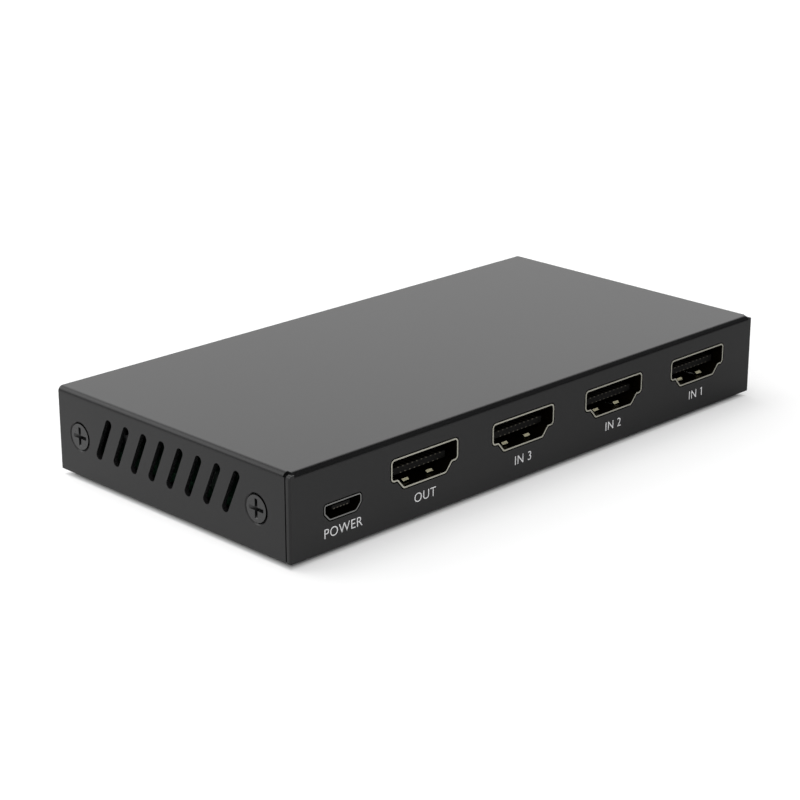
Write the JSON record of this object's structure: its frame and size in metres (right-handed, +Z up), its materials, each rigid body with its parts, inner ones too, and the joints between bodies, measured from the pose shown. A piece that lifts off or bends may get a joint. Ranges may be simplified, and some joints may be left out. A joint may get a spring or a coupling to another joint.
{
  "type": "video switch box",
  "caption": "Flat folded-steel video switch box with a row of video sockets and a micro power socket in one long wall, slanted vent slots in its ends and a select button in front.",
  "frame": {"origin": "Middle of the footprint, in the plane of the four feet's soles.", "axes": "X runs along the port wall, Y from the port wall (at -Y) to the front wall with the select button (at +Y), Z up. Seen from the port side, the power socket is on the left, at -X."},
  "size_m": [0.1098, 0.056, 0.015],
  "materials": {
    "cover_paint": "fine satin powder coat, charcoal",
    "base_paint": "satin powder coat, charcoal",
    "black_screw": "black oxide, slightly shiny",
    "foot_rubber": "matt",
    "nickel_brass": "nickel plated",
    "zinc_screw": "black zinc plated",
    "board_laminate": "very dark green solder mask",
    "gold_shell": "pale gold plating over stamped steel",
    "nickel_shell": "dull nickel plated",
    "socket_plastic": "moulded black",
    "gold_contact": "thin dull gold plating",
    "chip_epoxy": "moulded epoxy",
    "tin_lead": "tinned",
    "ferrite": "pressed ferrite",
    "can_aluminium": "drawn can",
    "base_plastic": "moulded black",
    "crystal_can": "drawn can",
    "ceramic": "fired ceramic",
    "button_plastic": "fine texture",
    "plunger_plastic": "moulded cream",
    "lamp_lens": "clear lens, slightly milky",
    "eye_lens": "dark red, lets infrared through",
    "eye_epoxy": "black epoxy"
  },
  "bodies": {
    "case": {"cover": "cover_paint", "base_plate": "base_paint", "cover_screws": "black_screw", "rubber_feet": "foot_rubber", "standoffs": "nickel_brass", "board_screws": "zinc_screw", "circuit_board": "board_laminate", "output_shell": "gold_shell", "output_insulator": "socket_plastic", "output_contacts": "gold_contact", "input_1_shell": "gold_shell", "input_1_insulator": "socket_plastic", "input_1_contacts": "gold_contact", "input_2_shell": "gold_shell", "input_2_insulator": "socket_plastic", "input_2_contacts": "gold_contact", "input_3_shell": "gold_shell", "input_3_insulator": "socket_plastic", "input_3_contacts": "gold_contact", "power_shell": "nickel_shell", "power_insulator": "socket_plastic", "power_contacts": "gold_contact", "switch_chip": "chip_epoxy", "switch_chip_leads": "tin_lead", "control_chip": "chip_epoxy", "control_chip_leads": "tin_lead", "regulator": "chip_epoxy", "regulator_leads": "tin_lead", "inductor": "ferrite", "capacitor_cans": "can_aluminium", "capacitor_bases": "base_plastic", "crystal": "crystal_can", "chip_capacitors": "ceramic", "button_switch": "base_plastic", "button_switch_legs": "tin_lead", "lamps": "lamp_lens", "lamp_leads": "tin_lead", "eye_window": "eye_lens", "eye_receiver": "eye_epoxy", "eye_leads": "tin_lead"},
    "select_button": {"button_cap": "button_plastic", "button_plunger": "plunger_plastic"}
  },
  "joints": [
    {"name": "select_press", "type": "slide", "parent": "case", "child": "select_button", "axis": [0, -1, 0], "range_m": [0, 0.0004], "stiffness_N_per_m": 4000}
  ]
}
